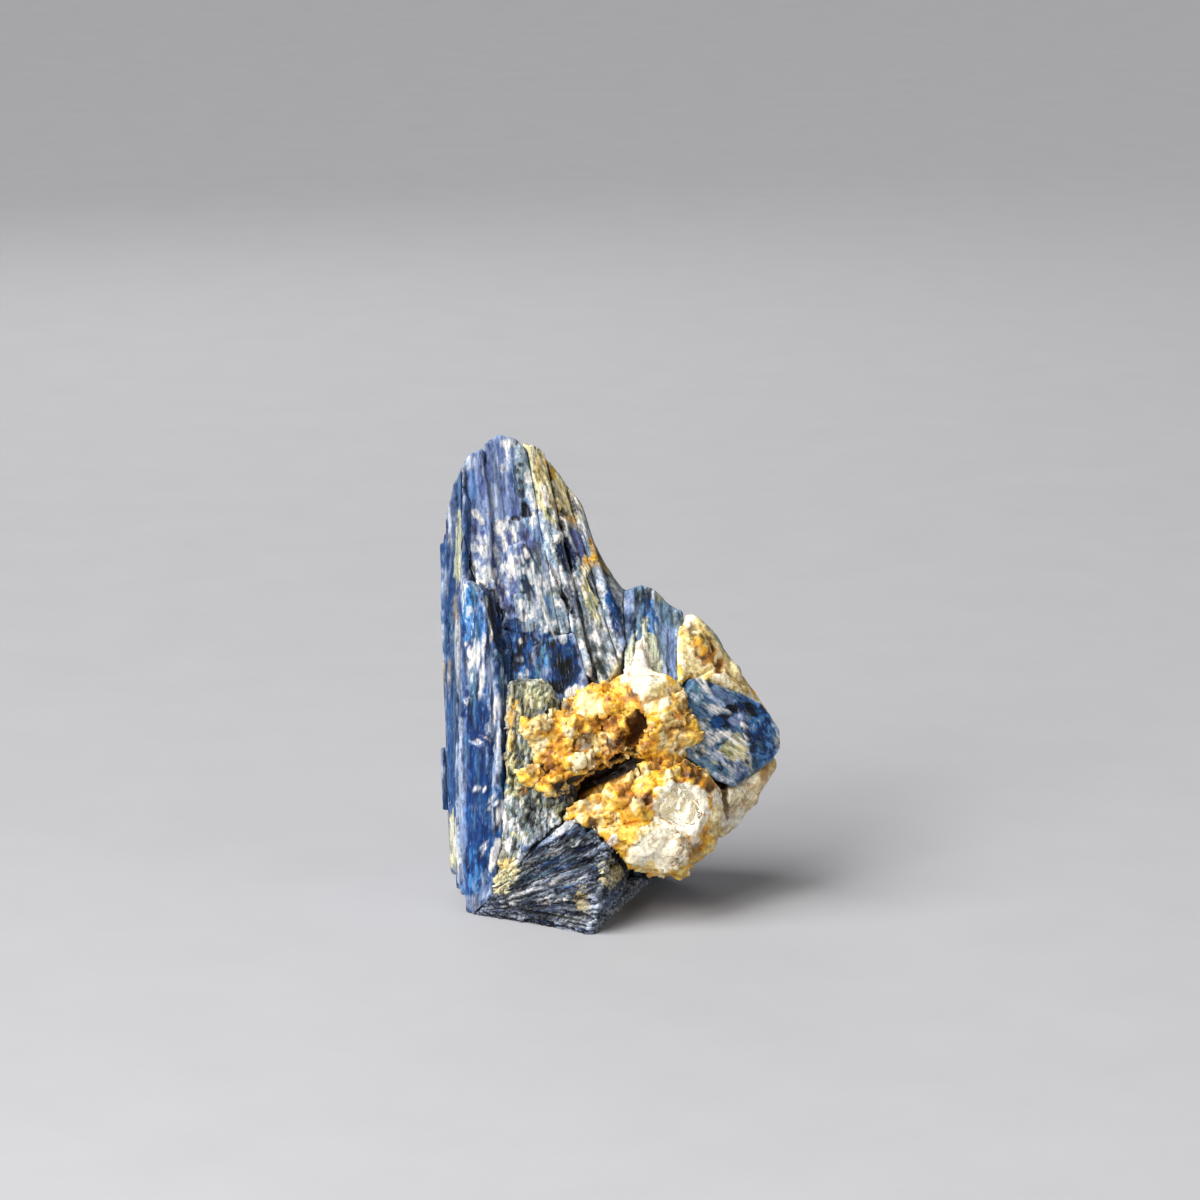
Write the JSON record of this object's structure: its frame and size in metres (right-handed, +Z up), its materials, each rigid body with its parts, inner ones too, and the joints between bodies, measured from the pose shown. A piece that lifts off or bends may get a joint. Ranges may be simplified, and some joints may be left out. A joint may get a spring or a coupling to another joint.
{
  "type": "kyanite blade cluster",
  "caption": "Upright mineral specimen: bladed blue kyanite crystals fanned around iron-stained quartz with a clear quartz grain, standing on its own flat foot.",
  "frame": {"origin": "middle of the bounding box at the level that the cluster stands on", "axes": "+X to the right of the side that shows the broad blade and the stained quartz, +Y towards the back, +Z up along the blades"},
  "size_m": [0.0472, 0.0384, 0.065],
  "materials": {
    "violet_kyanite": "pearly cleavage face, slate to violet blue with white altered patches",
    "cobalt_kyanite": "vitreous cleavage face, cobalt blue with fine lengthwise striations",
    "blue_kyanite": "vitreous, striated, mid blue to grey blue",
    "grey_kyanite": "fibrous edges of thin sheets, grey, teal and blue with pale streaks",
    "dark_kyanite": "fibrous edges of thin sheets, navy and grey",
    "mica": "pearly, grey green, platy",
    "stained_quartz": "granular, honey to rust with cream and milky areas",
    "clear_quartz": "clear, glassy, with faint veils"
  },
  "bodies": {
    "root": {"broad_blade": "violet_kyanite", "left_blades": "cobalt_kyanite", "right_blade": "cobalt_kyanite", "clear_quartz": "clear_quartz", "base_blades": "dark_kyanite", "mica_plates": "mica", "shoulder_blades": "grey_kyanite", "flank_blades": "grey_kyanite", "quartz_matrix": "stained_quartz", "back_blades": "blue_kyanite"}
  },
  "joints": []
}
